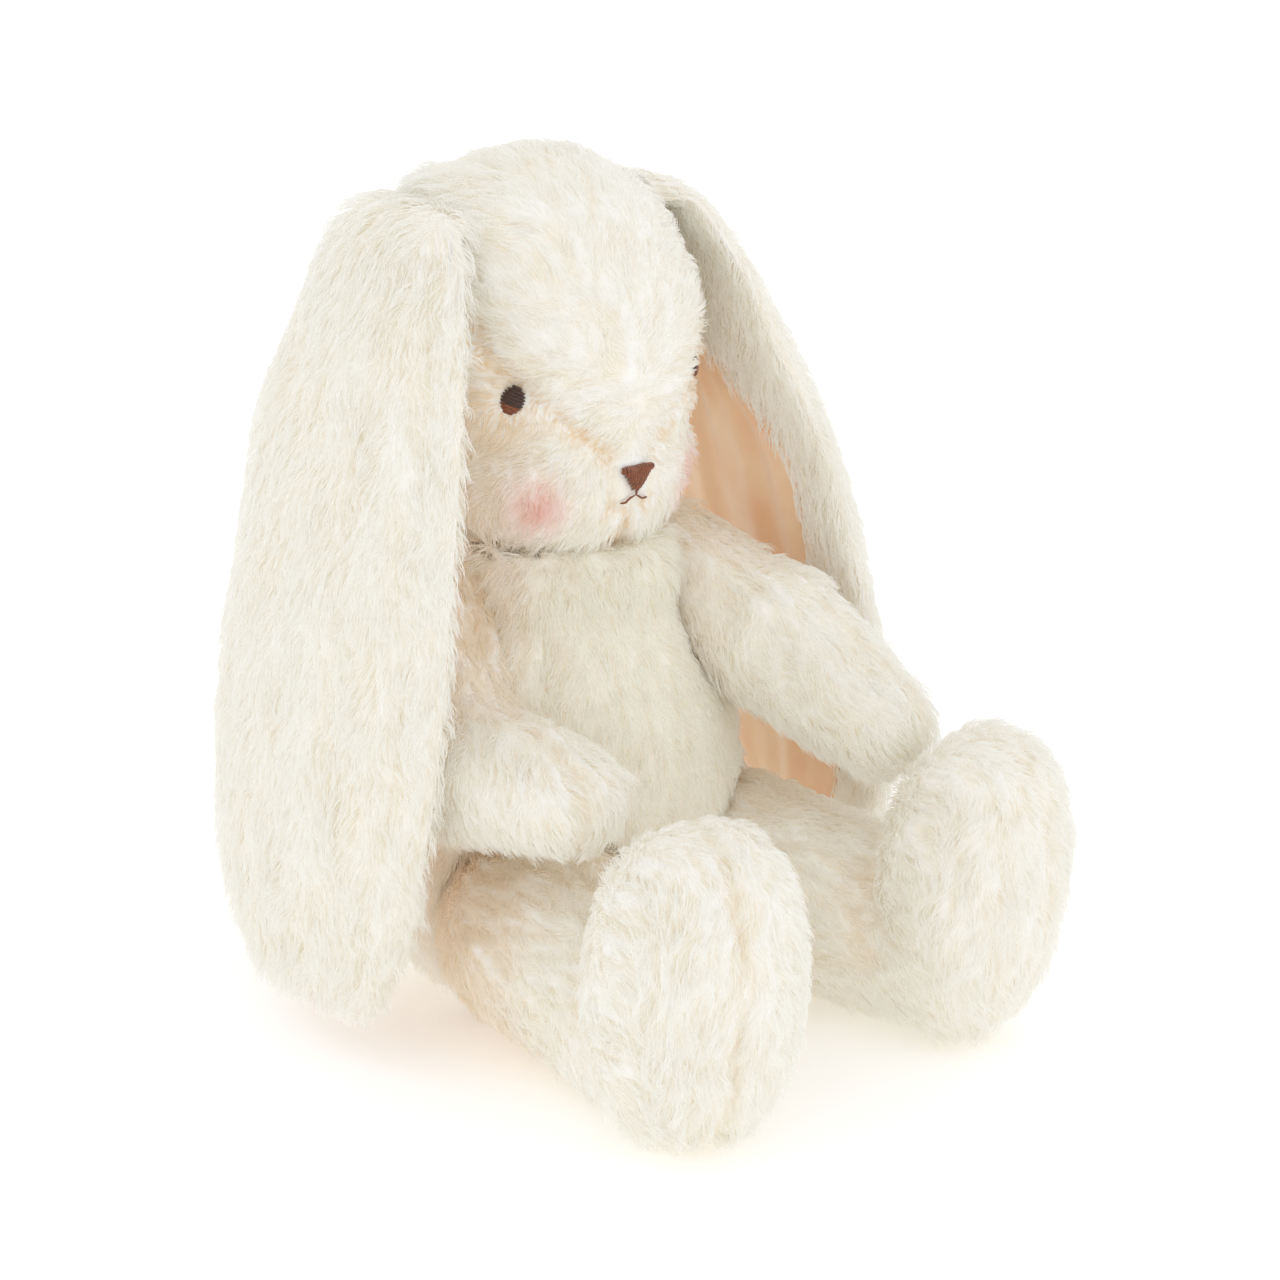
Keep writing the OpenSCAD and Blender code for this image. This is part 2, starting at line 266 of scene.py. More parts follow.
def inflate(o, pressure, cap):
    """Cloth with air pressure inside and no gravity, applied to the mesh; no point moves further than cap."""
    rest = points(o)
    m = o.modifiers.new("cloth", "CLOTH")
    # a soft cloth that stretches a little and bends easily
    s = m.settings
    s.quality = 4
    s.mass = 0.25
    s.use_pressure = True
    s.uniform_pressure_force = pressure
    s.tension_stiffness = s.compression_stiffness = 18
    s.bending_stiffness = 1.2
    s.effector_weights.gravity = 0
    m.point_cache.frame_start, m.point_cache.frame_end = 1, CLOTH_FRAMES
    for f in range(1, CLOTH_FRAMES + 1):
        scene.frame_set(f)
    baked(o)
    scene.frame_set(1)
    d = points(o) - rest
    far = np.linalg.norm(d, axis=1, keepdims=True)
    put(o, rest + d * np.minimum(1, cap / np.maximum(far, 1e-9)))


def stuffed(name, nodes, voxel=SKIN_VOXEL, cap=3 * mm, shrink=1.4 * mm):
    """A skin over the joined CAD panels and filling: remeshed, drawn in a little, then blown up as cloth."""
    verts, faces, base = [], [], 0
    for n in nodes:
        me = frame["nodes"][n].data
        co = np.array([v.co for v in me.vertices])
        verts.append(co)
        faces += [[i + base for i in p.vertices] for p in me.polygons]
        base += len(co)
    o = make(name, np.vstack(verts), faces)
    m = o.modifiers.new("voxels", "REMESH")
    m.mode, m.voxel_size, m.use_smooth_shade = "VOXEL", voxel, True
    baked(o)
    outer_shell(o)
    smooth(o, 2)
    put(o, points(o) - normals(o) * shrink)
    inflate(o, 2.5, cap)
    smooth(o, 2)
    subdivided(o)
    return o


def seam_depth(co, panels, width):
    """1 on the line where two CAD panels meet and 0 away from it."""
    trees = [tree_of(frame["nodes"][n]) for n in panels]
    d = np.array([[t.find_nearest(Vector(p))[3] for t in trees] for p in co])
    d.sort(axis=1)
    return np.exp(-((d[:, 1] - d[:, 0]) / width) ** 2)


def set_value(o, name, val):
    """Keeps one number for each vertex, for the materials and the fur."""
    a = o.data.attributes.new(name, "FLOAT", "POINT")
    a.data.foreach_set("value", val.astype(np.float32))


def get_value(o, name):
    out = np.zeros(len(o.data.vertices), np.float32)
    a = o.data.attributes.get(name)
    if a:
        a.data.foreach_get("value", out)
    return out.astype(float)


def comb_locks(o, comb, depth, seed, rounds=7):
    """Raises locks of pile out of the skin, drawn out along the comb direction, and keeps their height."""
    co, nor, e = points(o), normals(o), edges_of(o)
    n = len(co)
    d = comb(co, nor)
    src = np.concatenate([e[:, 0], e[:, 1]])
    dst = np.concatenate([e[:, 1], e[:, 0]])
    along = (unit(co[dst] - co[src]) * d[src]).sum(1)
    order = np.lexsort((along, src))
    first = np.searchsorted(src[order], np.arange(n))
    last = np.searchsorted(src[order], np.arange(n), side="right") - 1
    ahead, behind = dst[order][last], dst[order][first]
    h = np.random.default_rng(seed).normal(size=n)
    h = h * 0.6 + near_mean(h[:, None], e, n)[:, 0] * 1.4
    for i in range(rounds):
        h = (h * 1.2 + h[ahead] + h[behind]) / 3.2
    h = np.clip(h / h.std(), -2, 2)
    put(o, co + nor * (h * depth * 0.5)[:, None])
    # the lock height is also kept for the painted shade in the skin's colour
    set_value(o, "lock", h * 0.25 + 0.5)


# ---------------------------------------------------------------- materials

def new_material(name):
    m = bpy.data.materials.new(name)
    m.use_nodes = True
    t = m.node_tree
    bsdf = t.nodes["Principled BSDF"]
    return m, t, bsdf


def add(t, kind, **values):
    n = t.nodes.new(kind)
    for k, v in values.items():
        if k in n.inputs:
            n.inputs[k].default_value = v
        else:
            setattr(n, k, v)
    return n


def ramp(t, stops):
    """A colour ramp from (place, colour) pairs."""
    r = t.nodes.new("ShaderNodeValToRGB")
    while len(r.color_ramp.elements) < len(stops):
        r.color_ramp.elements.new(0.5)
    for el, (at, c) in zip(r.color_ramp.elements, stops):
        el.position = at
        el.color = (*c, 1)
    return r


def attribute(t, name):
    n = t.nodes.new("ShaderNodeAttribute")
    n.attribute_name = name
    return n


def mixed(t, kind, factor, a, b):
    """Mixes two colours; each of the three may be a value or a socket."""
    m = t.nodes.new("ShaderNodeMix")
    m.data_type, m.blend_type = "RGBA", kind
    for socket, value in ((m.inputs[0], factor), (m.inputs[6], a), (m.inputs[7], b)):
        if isinstance(value, (int, float)):
            socket.default_value = value
        elif isinstance(value, tuple):
            socket.default_value = (*value, 1)
        else:
            t.links.new(value, socket)
    return m.outputs[2]


CREAM = linear(250, 249, 246)
# the second tone of the cream and of the belly is painted shade for the hollows between locks
CREAM_PAINTED_SHADE = linear(248, 242, 230)
BELLY = linear(250, 247, 240)
BELLY_PAINTED_SHADE = linear(246, 239, 226)
PINK = linear(244, 176, 162)
# painted shade: a warm tone laid on hairs in seams, creases and round the joints
PAINTED_SHADE_TONE = linear(251, 233, 208)


def pile_skin(name, high, low, scale=1.0):
    """The woven ground of a pile fabric with its locks: lighter on the raised locks, and darker and warmer
    between them as painted shade.
    """
    m, t, b = new_material(name)
    coord = t.nodes.new("ShaderNodeTexCoord")
    fine = add(t, "ShaderNodeTexNoise", Scale=900 * scale, Detail=4.0, Roughness=0.6)
    broad = add(t, "ShaderNodeTexNoise", Scale=45 * scale, Detail=3.0)
    t.links.new(coord.outputs["Object"], fine.inputs["Vector"])
    t.links.new(coord.outputs["Object"], broad.inputs["Vector"])
    lock = attribute(t, "lock")
    # painted shade: the colour runs from the shaded tone in the hollows between locks to the light tone on
    # their tops
    shade = ramp(t, [(0.15, low), (0.75, high)])
    t.links.new(lock.outputs["Fac"], shade.inputs["Fac"])
    tone = ramp(t, [(0.3, tuple(0.93 * c for c in high)), (0.7, high)])
    t.links.new(broad.outputs["Fac"], tone.inputs["Fac"])
    colour = mixed(t, "MULTIPLY", 0.25, shade.outputs["Color"], tone.outputs["Color"])
    colour = mixed(t, "MIX", attribute(t, "blush").outputs["Fac"], colour, PINK)
    t.links.new(colour, b.inputs["Base Color"])
    b.inputs["Roughness"].default_value = 0.95
    b.inputs["Specular IOR Level"].default_value = 0.15
    b.inputs["Sheen Weight"].default_value = 0.35
    b.inputs["Sheen Roughness"].default_value = 0.6
    b.inputs["Sheen Tint"].default_value = (1.0, 0.97, 0.92, 1)
    bump = add(t, "ShaderNodeBump", Strength=0.6, Distance=0.0006)
    t.links.new(fine.outputs["Fac"], bump.inputs["Height"])
    t.links.new(bump.outputs["Normal"], b.inputs["Normal"])
    return m


def fur_material(name, tip, root):
    """Pile hair: darker and warmer at the root as painted shade deep in the pile, pale at the tip, each hair
    a little different, letting light through, and tinted further with painted shade where the shade attribute
    is set.
    """
    m, t, b = new_material(name)
    info = t.nodes.new("ShaderNodeHairInfo")
    # painted shade: each hair darkens and warms towards its root, deep in the pile
    along = ramp(t, [(0.0, root), (0.55, tip)])
    t.links.new(info.outputs["Intercept"], along.inputs["Fac"])
    vary = ramp(t, [(0.0, (0.955, 0.945, 0.92)), (0.4, (0.985, 0.983, 0.975)), (1.0, (1.0, 1.0, 1.0))])
    t.links.new(info.outputs["Random"], vary.inputs["Fac"])
    colour = mixed(t, "MULTIPLY", 1.0, along.outputs["Color"], vary.outputs["Color"])
    # painted shade: hairs are tinted towards the warm shade tone by the shade attribute, in seams and creases
    colour = mixed(t, "MULTIPLY", attribute(t, "warm").outputs["Fac"], colour, PAINTED_SHADE_TONE)
    colour = mixed(t, "MIX", attribute(t, "blush").outputs["Fac"], colour, PINK)
    t.links.new(colour, b.inputs["Base Color"])
    b.inputs["Roughness"].default_value = 0.6
    b.inputs["Specular IOR Level"].default_value = 0.25
    through = t.nodes.new("ShaderNodeBsdfTranslucent")
    t.links.new(colour, through.inputs["Color"])
    blend = t.nodes.new("ShaderNodeMixShader")
    blend.inputs[0].default_value = 0.35
    t.links.new(b.outputs[0], blend.inputs[1])
    t.links.new(through.outputs[0], blend.inputs[2])
    t.links.new(blend.outputs[0], t.nodes["Material Output"].inputs["Surface"])
    return m


def thread_material(name, light, dark):
    m, t, b = new_material(name)
    coord = t.nodes.new("ShaderNodeTexCoord")
    noise = add(t, "ShaderNodeTexNoise", Scale=1400.0, Detail=3.0)
    t.links.new(coord.outputs["Object"], noise.inputs["Vector"])
    shade = ramp(t, [(0.3, dark), (0.7, light)])
    t.links.new(noise.outputs["Fac"], shade.inputs["Fac"])
    t.links.new(shade.outputs["Color"], b.inputs["Base Color"])
    b.inputs["Roughness"].default_value = 0.5
    b.inputs["Sheen Weight"].default_value = 0.3
    bump = add(t, "ShaderNodeBump", Strength=0.5, Distance=0.0002)
    t.links.new(noise.outputs["Fac"], bump.inputs["Height"])
    t.links.new(bump.outputs["Normal"], b.inputs["Normal"])
    return m


def satin_material():
    m, t, b = new_material("peach_satin")
    coord = t.nodes.new("ShaderNodeTexCoord")
    weave = add(t, "ShaderNodeTexWave", Scale=900.0, Distortion=1.5, Detail=2.0)
    weave.bands_direction = "Z"
    cloud = add(t, "ShaderNodeTexNoise", Scale=60.0, Detail=4.0)
    t.links.new(coord.outputs["Object"], weave.inputs["Vector"])
    t.links.new(coord.outputs["Object"], cloud.inputs["Vector"])
    tone = ramp(t, [(0.3, linear(248, 204, 163)), (0.7, linear(253, 224, 190))])
    t.links.new(cloud.outputs["Fac"], tone.inputs["Fac"])
    fine = ramp(t, [(0.0, (0.90, 0.88, 0.86)), (1.0, (1, 1, 1))])
    t.links.new(weave.outputs["Fac"], fine.inputs["Fac"])
    colour = mixed(t, "MULTIPLY", 0.6, tone.outputs["Color"], fine.outputs["Color"])
    t.links.new(colour, b.inputs["Base Color"])
    b.inputs["Roughness"].default_value = 0.42
    b.inputs["Sheen Weight"].default_value = 0.3
    b.inputs["Anisotropic"].default_value = 0.5
    bump = add(t, "ShaderNodeBump", Strength=0.35, Distance=0.0003)
    t.links.new(weave.outputs["Fac"], bump.inputs["Height"])
    t.links.new(bump.outputs["Normal"], b.inputs["Normal"])
    return m


skin_cream = pile_skin("cream_pile_ground", CREAM, CREAM_PAINTED_SHADE)
skin_belly = pile_skin("belly_pile_ground", BELLY, BELLY_PAINTED_SHADE, 1.6)
fur_cream = fur_material("cream_pile", linear(252, 252, 250), linear(251, 249, 243))
fur_belly = fur_material("belly_pile", linear(251, 251, 247), linear(250, 247, 238))
satin = satin_material()
brown = thread_material("brown_thread", linear(146, 78, 36), linear(98, 48, 20))
dark_brown = thread_material("dark_brown_thread", linear(78, 44, 28), linear(44, 24, 16))
cotton = thread_material("cotton_thread", linear(246, 240, 228), linear(232, 222, 204))
for o in frame["nodes"].values():
    o.data.materials.clear()
    o.data.materials.append(cotton)

floor_m, t, b = new_material("floor")
grain = add(t, "ShaderNodeTexNoise", Scale=3.0, Detail=2.0)
tone = ramp(t, [(0.0, (0.93, 0.93, 0.93)), (1.0, (0.95, 0.95, 0.95))])
t.links.new(grain.outputs["Fac"], tone.inputs["Fac"])
t.links.new(tone.outputs["Color"], b.inputs["Base Color"])
b.inputs["Roughness"].default_value = 0.9
b.inputs["Specular IOR Level"].default_value = 0.1
b.inputs["Emission Color"].default_value = (1, 1, 1, 1)
b.inputs["Emission Strength"].default_value = 0.2
floor = make("floor", [(-8, -8, 0), (8, -8, 0), (8, 8, 0), (-8, 8, 0)], [(0, 1, 2, 3)])
floor.data.materials.append(floor_m)


# ---------------------------------------------------------------- fur

def flat_to(d, n):
    """Directions d laid flat on a surface with normals n."""
    return unit(d - n * (d * n).sum(1, keepdims=True))


def hair_value(hair, name, val):
    hair.attributes.new(name, "FLOAT", "CURVE").data.foreach_set("value", val.astype(np.float32))


def fur(name, skin, body, comb, length, density, material, seed, lean=42, lock=3.4 * mm, hold=0.5,
        where=None, swirl=0.5, warm=None):
    """Pile hair on a skin: combed, gathered into locks, each hair leaning over and drooping.

    density is hairs in a square millimetre, lean is about how many degrees they lie over, lock is the width
    of a lock and hold is how tightly it gathers. length and where are functions of (roots, normals); where
    thins the hairs out from 1 to 0. warm gives how strongly painted shade tints the hairs at some roots, from
    0 to 1."""
    density = density * 1.0
    rng = np.random.default_rng(seed)
    me = skin.data
    me.calc_loop_triangles()
    tri = np.empty(len(me.loop_triangles) * 3, np.int32)
    me.loop_triangles.foreach_get("vertices", tri)
    tri = tri.reshape(-1, 3)
    co, nor = points(skin), normals(skin)
    a, b, c = co[tri[:, 0]], co[tri[:, 1]], co[tri[:, 2]]
    area = np.linalg.norm(np.cross(b - a, c - a), axis=1) / 2
    count = int(area.sum() * 1e6 * density)
    pick = rng.choice(len(tri), count, p=area / area.sum())
    u, v = rng.random(count), rng.random(count)
    over = u + v > 1
    u[over], v[over] = 1 - u[over], 1 - v[over]
    w = np.stack([1 - u - v, u, v], 1)
    root = sum(co[tri[pick, k]] * w[:, k:k + 1] for k in range(3))
    n = unit(sum(nor[tri[pick, k]] * w[:, k:k + 1] for k in range(3)))
    blush = get_value(skin, "blush")
    blush = sum(blush[tri[pick, k]] * w[:, k] for k in range(3))
    keep = root[:, 2] > 0.6 * mm
    if where is not None:
        keep &= rng.random(count) < where(root, n)
    root, n, blush = root[keep], n[keep], blush[keep]
    count = len(root)
    d = comb(root, n)
    side = np.cross(n, d)
    turn = swirl * (waves(root, 22 * mm, seed + 1) + 0.7 * waves(root, 8 * mm, seed + 2)
                    + 0.7 * waves(root, 4.5 * mm, seed + 5))
    d = unit(d * np.cos(turn)[:, None] + side * np.sin(turn)[:, None])
    size = length(root, n) * rng.uniform(0.72, 1.1, count)
    angle = np.radians(lean + 10 * waves(root, 9 * mm, seed + 3) + rng.normal(0, 10, count))
    angle = np.clip(angle, 5, math.radians(82))
    # each hair rises, then bends over along the comb direction
    k = 8
    s = np.linspace(0, 1, k)[None, :, None]
    start = np.clip(angle * 0.55, 0, 1.2)[:, None, None]
    end = np.clip(angle * 1.25, 0, 1.75)[:, None, None]
    bend = start + (end - start) * s
    step_len = (size / (k - 1))[:, None, None]
    grow = n[:, None] * np.cos(bend) + d[:, None] * np.sin(bend)
    grow[:, :, 2] -= 0.22 * s[..., 0]
    grow = unit(grow)
    p = root[:, None] - n[:, None] * 0.3 * mm + np.concatenate(
        [np.zeros((count, 1, 3)), np.cumsum(grow[:, :-1] * step_len, 1)], 1)
    # locks: hairs lean towards the middle of their lock near the tips
    per_lock = max(3.0, density * (lock * 1000) ** 2)
    centres = rng.choice(count, max(4, int(count / per_lock)), replace=False)
    tree = finder(root[centres])
    own = centres[np.array([tree.find(q)[1] for q in root.tolist()])]
    pull = (hold * rng.uniform(0.5, 1.2, count))[:, None, None] * np.linspace(0, 1, k)[None, :, None] ** 1.4
    reach = np.minimum(1, size / size[own])[:, None, None]
    p = p + (p[own] - p) * np.clip(pull * reach, 0, 0.95)
    # a small crimp in each hair
    phase = rng.uniform(0, 6.28, (count, 2))
    wave = np.sin(np.linspace(0, 5.5, k)[None] + phase[:, :1]) * np.linspace(0, 1, k)[None]
    wave2 = np.sin(np.linspace(0, 4.0, k)[None] + phase[:, 1:]) * np.linspace(0, 1, k)[None]
    side = np.cross(n, d)
    crimp = side[:, None] * wave[..., None] + n[:, None] * 0.6 * wave2[..., None]
    p += crimp * (0.07 * size)[:, None, None]
    p[:, :, 2] = np.maximum(p[:, :, 2], 0.4 * mm)
    hc = bpy.data.hair_curves.new(name)
    hc.add_curves([k] * count)
    hc.attributes["position"].data.foreach_set("vector", p.astype(np.float32).ravel())
    taper = np.interp(np.linspace(0, 1, k), [0, 0.5, 1], [1, 0.8, 0.25])
    r = hc.attributes.get("radius") or hc.attributes.new("radius", "FLOAT", "POINT")
    thick = 0.13 * mm * 1.0
    r.data.foreach_set("value", (np.tile(taper, count) * thick).astype(np.float32))
    # painted shade: how strongly each hair is tinted by the warm shade tone
    if warm is not None:
        hair_value(hc, "warm", np.clip(warm(root), 0, 1))
    if blush.max() > 0:
        hair_value(hc, "blush", blush)
    hc.materials.append(material)
    o = bpy.data.objects.new(name, hc)
    scene.collection.objects.link(o)
    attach(o, body)


# ---------------------------------------------------------------- threads

def tube(path, radius, sides=8):
    """Vertices and faces of one thread along path, with rounded ends."""
    path = np.array(path, float)
    # a point on top of the one before it would leave faces without area
    path = path[np.append(True, np.linalg.norm(np.diff(path, axis=0), axis=1) > 0.02 * mm)]
    t = unit(np.gradient(path, axis=0))
    ref = np.array([0.3, 0.5, 0.81])
    a = unit(np.cross(t, ref))
    b = np.cross(t, a)
    m = len(path)
    r = radius * np.minimum(1, np.array([0.45] + [1] * (m - 2) + [0.45]))
    ang = np.linspace(0, 2 * math.pi, sides, endpoint=False)
    ring = [path[i] + r[i] * (np.cos(ang)[:, None] * a[i] + np.sin(ang)[:, None] * b[i]) for i in range(m)]
    v = np.vstack(ring + [path[:1] - t[:1] * radius * 0.3, path[-1:] + t[-1:] * radius * 0.3])
    f = [[i * sides + j, i * sides + (j + 1) % sides, (i + 1) * sides + (j + 1) % sides, (i + 1) * sides + j]
         for i in range(m - 1) for j in range(sides)]
    f += [[m * sides, (j + 1) % sides, j] for j in range(sides)]
    f += [[m * sides + 1, (m - 1) * sides + j, (m - 1) * sides + (j + 1) % sides] for j in range(sides)]
    return v, f


def threads(name, paths, radius, material, picks=None, others=()):
    """One piece of many threads; picks gives each thread's material, 0 for material and 1 for the next."""
    verts, faces, mats, base = [], [], [], 0
    for i, path in enumerate(paths):
        v, f = tube(path, radius)
        verts.append(v)
        faces += [[k + base for k in q] for q in f]
        mats += [picks[i] if picks else 0] * len(f)
        base += len(v)
    o = make(name, np.vstack(verts), faces)
    for m in (material, *others):
        o.data.materials.append(m)
    o.data.polygons.foreach_set("material_index", np.array(mats, np.int32))
    return o


def on_surface(tree, p, lift):
    """The nearest point to p on a surface, lifted off it."""
    hit = tree.find_nearest(Vector(p))
    return np.array(hit[0]) + np.array(hit[1]) * lift


# ---------------------------------------------------------------- body

down = np.array([0.0, 0.0, -1.0])


def comb_body(p, n):
    return flat_to(np.tile(down, (len(p), 1)) + unit(n * [1, 1, 0]) * 0.15, n)


body_panels = ["belly_panel", "back_panel_left", "back_panel_right", "seat_panel"]
body = stuffed("body_skin", body_panels + ["body_stuffing"])
co, nor = points(body), normals(body)
seams = seam_depth(co, body_panels, 2.2 * mm)
put(body, co - nor * (seams * 1.1 * mm)[:, None])
seat_lo, seat_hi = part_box("seat_panel")
axis_y = (seat_lo[1] + seat_hi[1]) / 2


def belly_share(p):
    """1 over the belly panel and 0 over the back panels."""
    a = np.degrees(np.arctan2(np.abs(p[:, 0]), -(p[:, 1] - axis_y)))
    return (1 - step(a, 53, 58)) * step(p[:, 2], 3 * mm, 6 * mm)


neck_lo, neck_hi = (np.array(v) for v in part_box("neck_stitch"))
co, nor = points(body), normals(body)
# the shoulders are filled out to the round of the chest, so each arm presses against cloth
axis = np.array([0.0, axis_y])
around = np.degrees(np.arctan2(np.abs(co[:, 0]), -(co[:, 1] - axis_y)))
reach = np.linalg.norm(co[:, :2] - axis, axis=1)
levels = np.arange(70, 146, 4) * mm
levels = levels[levels < neck_hi[2]]
chest = np.array([np.median(reach[(np.abs(co[:, 2] - z) < 3 * mm) & (around < 30)]) for z in levels])
want = np.interp(co[:, 2], levels, chest)
want += (6 * mm * step(-co[:, 0], 8 * mm, 22 * mm) * bell(around[:, None], np.array([62.0]), 26)
         * bell(co[:, 2:], np.array([118 * mm]), 22 * mm))
fill = step(around, 38, 52) * (1 - step(around, 118, 140)) * step(co[:, 2], 74 * mm, 90 * mm)
grown = np.maximum(reach, reach + (want + 3 * mm - reach) * 0.85 * fill) / np.maximum(reach, 1 * mm)
put(body, np.column_stack([(co[:, :2] - axis) * grown[:, None] + axis, co[:, 2]]))
relax(body, 5, 0.5, fill)
# the top edge rises round the neck, under the chin
co, nor = points(body), normals(body)
rim = step(co[:, 2], neck_lo[2] - 16 * mm, neck_lo[2] - 1 * mm)
put(body, co + (unit(nor * [1, 1, 0]) * 3.5 * mm + [0, 0, 5.0 * mm]) * rim[:, None])
# the hollow in front of the right shoulder is filled, and the chest there smoothed to one round
co, nor = points(body), normals(body)
hollow = bell(co, joint["arm_right_lift"] + np.array([6, -30, -14]) * mm, np.array([18, 16, 24]) * mm)
put(body, co + unit(nor + [-0.3, -0.5, 0]) * (hollow * 4 * mm)[:, None])
co = points(body)
near_arm = step(-co[:, 0], 0, 14 * mm) * step(around, 18, 34) * (1 - step(around, 80, 100))
near_arm *= step(co[:, 2], 74 * mm, 88 * mm) * (1 - step(co[:, 2], 128 * mm, 136 * mm))
relax(body, 60, 0.5, near_arm)
co = points(body)
comb_locks(body, comb_body, LOCK_RELIEF * (1 - 0.6 * belly_share(co)), 11)
above_floor(body)
body.data.materials.append(skin_cream)
body.data.materials.append(skin_belly)
face_centre = np.array([p.center for p in body.data.polygons])
body.data.polygons.foreach_set("material_index", (belly_share(face_centre) > 0.5).astype(np.int32))
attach(body, "body")
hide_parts(*body_panels, "body_stuffing")
fur("fur_back", body, "body", comb_body, lambda p, n: np.full(len(p), FULL_PILE), 0.7, fur_cream, 101,
    where=lambda p, n: 1 - belly_share(p))
# the belly's pile is short, and longer just under the chin
fur("fur_belly", body, "body", comb_body,
    lambda p, n: 4.8 * mm + 4 * mm * step(p[:, 2], neck_lo[2] - 14 * mm, neck_lo[2]), 1.1, fur_belly, 102,
    where=lambda p, n: belly_share(p), lock=3.0 * mm, hold=0.3, lean=58)

tail = stuffed("tail_skin", ["tail_cover", "tail_stuffing"], voxel=2.0 * mm, cap=2 * mm, shrink=0.8 * mm)


def comb_tail(p, n):
    return flat_to(np.tile([0, 0.4, -1.0], (len(p), 1)), n)


comb_locks(tail, comb_tail, LOCK_RELIEF, 12)
above_floor(tail)
tail.data.materials.append(skin_cream)
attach(tail, "body")
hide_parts("tail_cover", "tail_stuffing")

# the closing thread: slanted stitches all round the neck
body_tree = tree_of(body)
neck_radius = 0.5 * (neck_hi[0] - neck_lo[0])
ring = []
for i in range(NECK_STITCHES):
    a = 2 * math.pi * i / NECK_STITCHES
    x, y = neck_radius * math.cos(a), axis_y + neck_radius * math.sin(a)
    stitch = []
    for q in np.linspace(-1, 1, 6):
        hit = body_tree.find_nearest(Vector((x, y, neck_lo[2] + (1 + q) * 1.3 * mm)))
        stitch.append(np.array(hit[0]) + np.array(hit[1]) * (0.3 - 0.6 * q * q) * mm
                      + np.array([-math.sin(a), math.cos(a), 0]) * q * 0.9 * mm)
    ring.append(stitch)
neck = threads("neck_thread", ring, 0.4 * mm, cotton)
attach(neck, "body")
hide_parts("neck_stitch")
fur("fur_tail", tail, "body", comb_tail, lambda p, n: np.full(len(p), FULL_PILE), 0.8, fur_cream, 103,
    lean=45)


# ---------------------------------------------------------------- head

head_panels = ["forehead_gusset", "cheek_panel_left", "cheek_panel_right"]
head = stuffed("head_skin", head_panels + ["head_stuffing"])
nose_lo, nose_hi = (np.array(v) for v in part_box("nose"))
nose_at = np.array([0.0, nose_lo[1], (nose_lo[2] + nose_hi[2]) / 2])
eyes = {s: sum(np.array(v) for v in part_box("eye_" + s)) / 2 for s in ("left", "right")}
co, nor = points(head), normals(head)
seams = seam_depth(co, head_panels, 2.0 * mm)
seams *= step(np.linalg.norm(co - nose_at, axis=1), 6 * mm, 14 * mm)
put(head, co - nor * (seams * 2.2 * mm)[:, None])
for s, e in eyes.items():
    co, nor = points(head), normals(head)
    put(head, co - nor * (bell(co, e, 8 * mm) * 1.9 * mm)[:, None])
seat_tree = tree_of(head)
# the head is filled out beside and above each ear's root, more at the near ear
for q, beside_fill, above_fill in ((1, 1.5, 0), (-1, 5.5, 6)):
    co, nor = points(head), normals(head)
    root = joint["ear_left_swing"] * [q, 1, 1]
    beside = bell(co, root - np.array([q * 6, 8, 5]) * mm, np.array([13, 19, 14]) * mm)
    put(head, co + unit(nor + [0, 0, 0.3]) * (beside * beside_fill * mm)[:, None])
    co = points(head)
    above = bell(co, root + np.array([-q * 3, 1, 3]) * mm, np.array([10, 18, 11]) * mm)
    put(head, co + np.array([0.5 * q, 0, 1]) * (above * above_fill * mm)[:, None])
co, nor = points(head), normals(head)
lip = np.array([0.0, nose_at[1], nose_lo[2] - 5 * mm])
put(head, co - nor * (bell(co, lip, np.array([2.2, 9, 6.0]) * mm) * 1.6 * mm)[:, None])
co = points(head)
blush = np.zeros(len(co))
for s, e in eyes.items():
    cheek = e + np.array([-0.004 if s == "left" else 0.004, -0.006, -0.034])
    blush = np.maximum(blush, bell(co, cheek, 8.5 * mm))
set_value(head, "blush", blush * 0.8)
head_tree = tree_of(head)


def head_painted_shade(p):
    """Painted shade on the hairs: along the seams of the face, round the eyes and under the chin."""
    face = step(p[:, 1], nose_at[1] + 62 * mm, nose_at[1] + 40 * mm)
    w = 0.9 * np.array([seam_value(q) for q in p.tolist()]) * face
    for e in eyes.values():
        w = np.maximum(w, 0.8 * bell(p, e + np.array([0, 4, -2]) * mm, 11 * mm))
    return np.maximum(w, 0.9 * step(p[:, 2], nose_at[2] - 20 * mm, nose_at[2] - 34 * mm))


def face_clear(p):
    """0 on the eyes, nose and mouth, rising to 1 away from them."""
    c = np.ones(len(p))
    for e in eyes.values():
        c *= step(np.linalg.norm(p - e, axis=1), 3.6 * mm, 9.5 * mm)
    c *= step(np.linalg.norm((p - nose_at) / [1.25, 1, 1], axis=1), 5.5 * mm, 13 * mm)
    c *= step(np.linalg.norm(p - lip, axis=1), 3 * mm, 9 * mm)
    return c


skull_mid = np.array([0, joint["head_nod"][1] + 4 * mm, eyes["left"][2] + 8 * mm])


def comb_head(p, n):
    """Away from the nose, down at the sides of the head, and outwards on the crown near the ears."""
    away = unit(p - (nose_at + [0, 4 * mm, 4 * mm]))
    low = step(p[:, 2], skull_mid[2] + 30 * mm, skull_mid[2] - 20 * mm)[:, None]
    back = np.array([0, 0.5, 0.1])
    top = (step(np.abs(p[:, 0]), 12 * mm, 34 * mm)
           * step(p[:, 2], skull_mid[2] + 12 * mm, skull_mid[2] + 34 * mm))[:, None]
    aside = np.sign(p[:, :1]) * np.array([[1.0, 0, -0.6]])
    lay = away * 0.8 + down * 0.9 * low + back * (1 - low)
    return flat_to(lay * (1 - 0.8 * top) + aside * 1.2 * top, n)


comb_locks(head, comb_head, LOCK_RELIEF * (0.25 + 0.75 * face_clear(co)), 13)
head.data.materials.append(skin_cream)
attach(head, "head")
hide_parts(*head_panels, "head_stuffing")

seam_tree = finder(points(head))


def seam_value(q):
    return seams[seam_tree.find(q)[1]]


